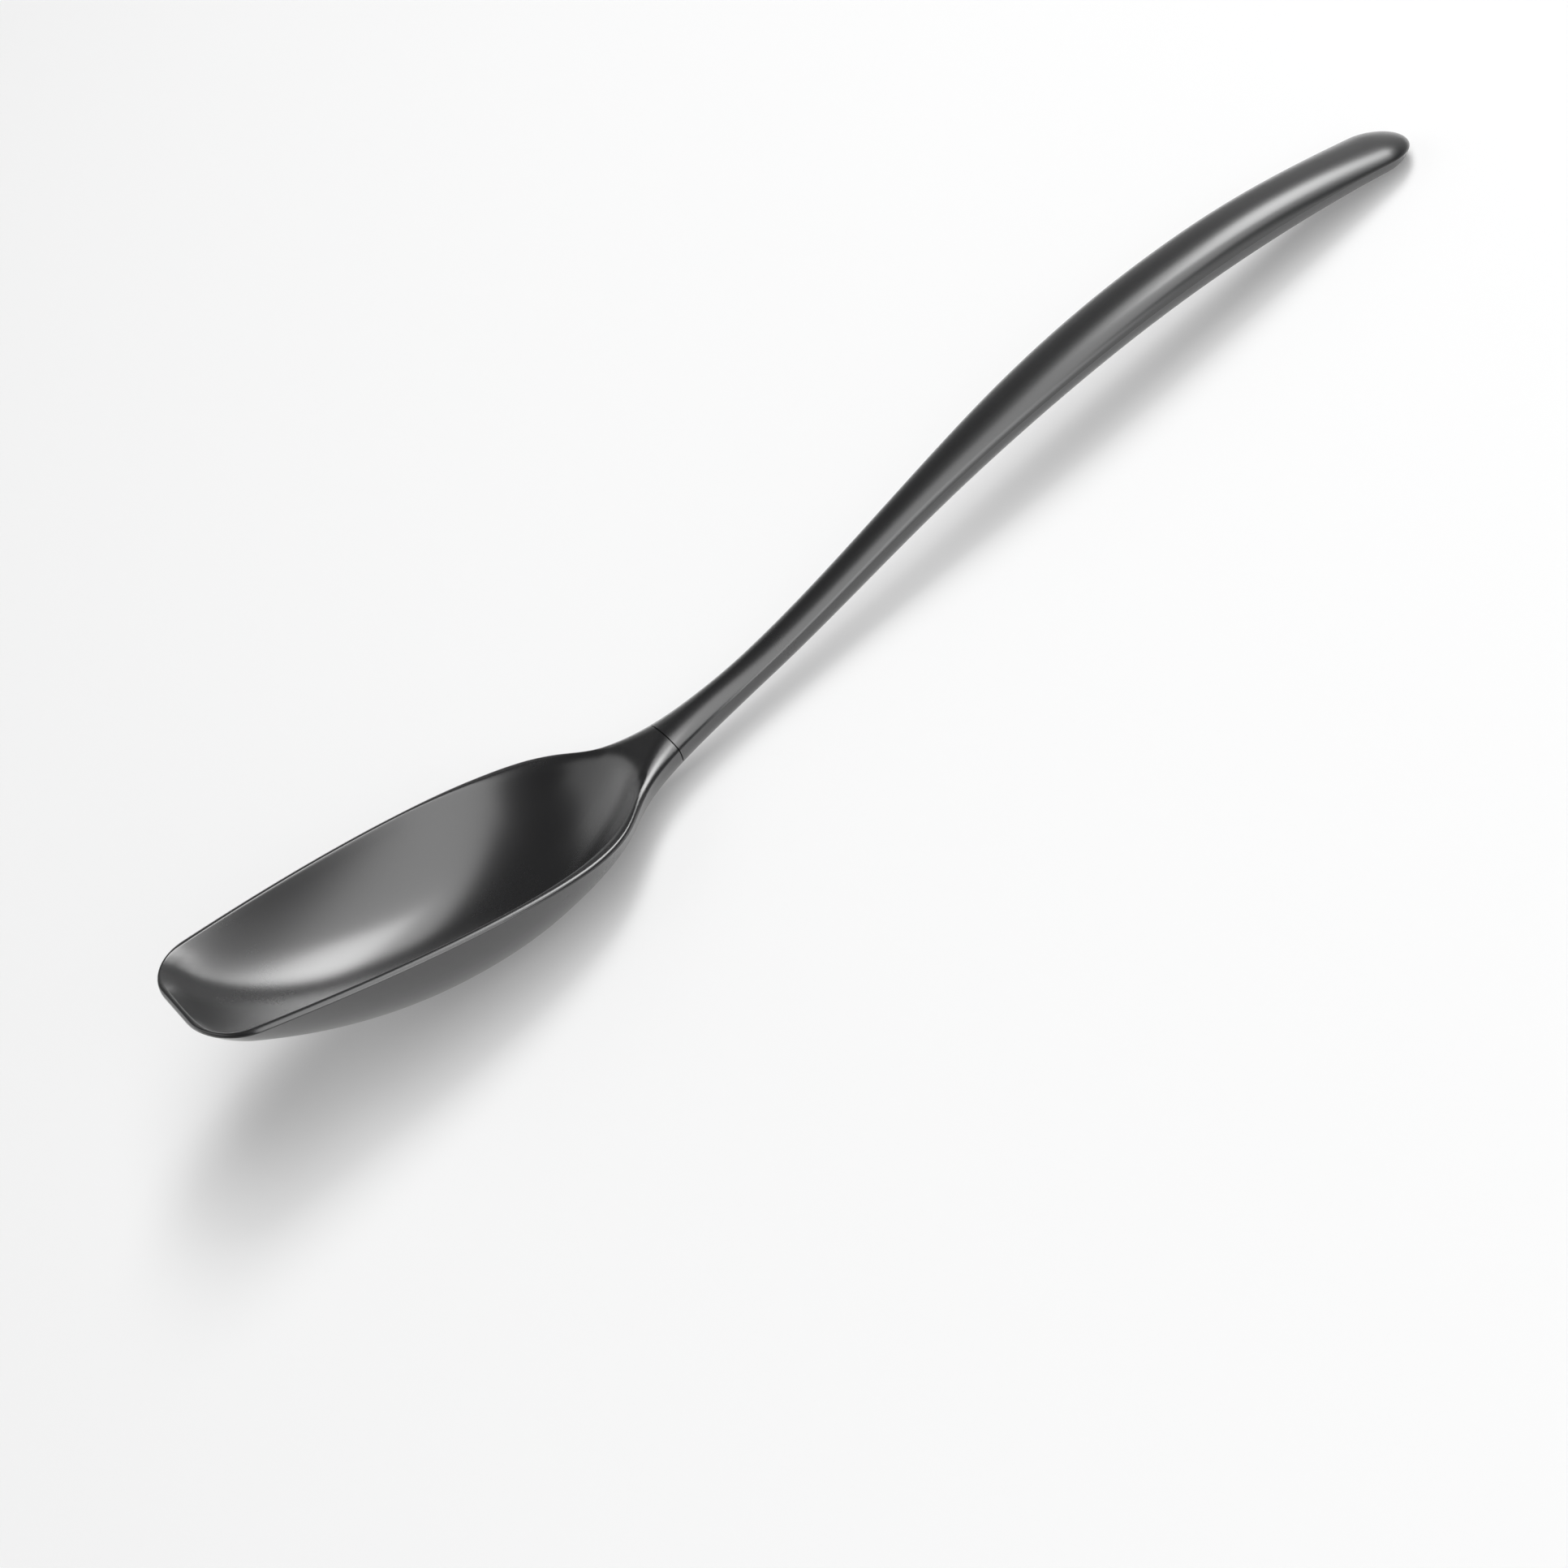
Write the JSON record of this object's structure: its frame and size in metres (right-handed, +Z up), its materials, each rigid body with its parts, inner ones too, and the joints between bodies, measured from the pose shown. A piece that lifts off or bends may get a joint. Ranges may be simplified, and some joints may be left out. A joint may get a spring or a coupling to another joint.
{
  "type": "cooking spoon",
  "caption": "Long-handled kitchen spoon with a deep scoop-shaped bowl, a nearly straight front edge and an arched, crowned handle socketed over the bowl's tang.",
  "frame": {"origin": "on the surface that the spoon lies on, under the middle of its length and width", "axes": "+X along the spoon from the bowl's front edge to the handle's tip, +Z up, bowl opening upwards"},
  "size_m": [0.3044, 0.0618, 0.0349],
  "materials": {
    "melamine": "charcoal black moulded melamine, satin gloss"
  },
  "bodies": {
    "root": {"bowl_head": "melamine", "handle": "melamine"}
  },
  "joints": []
}
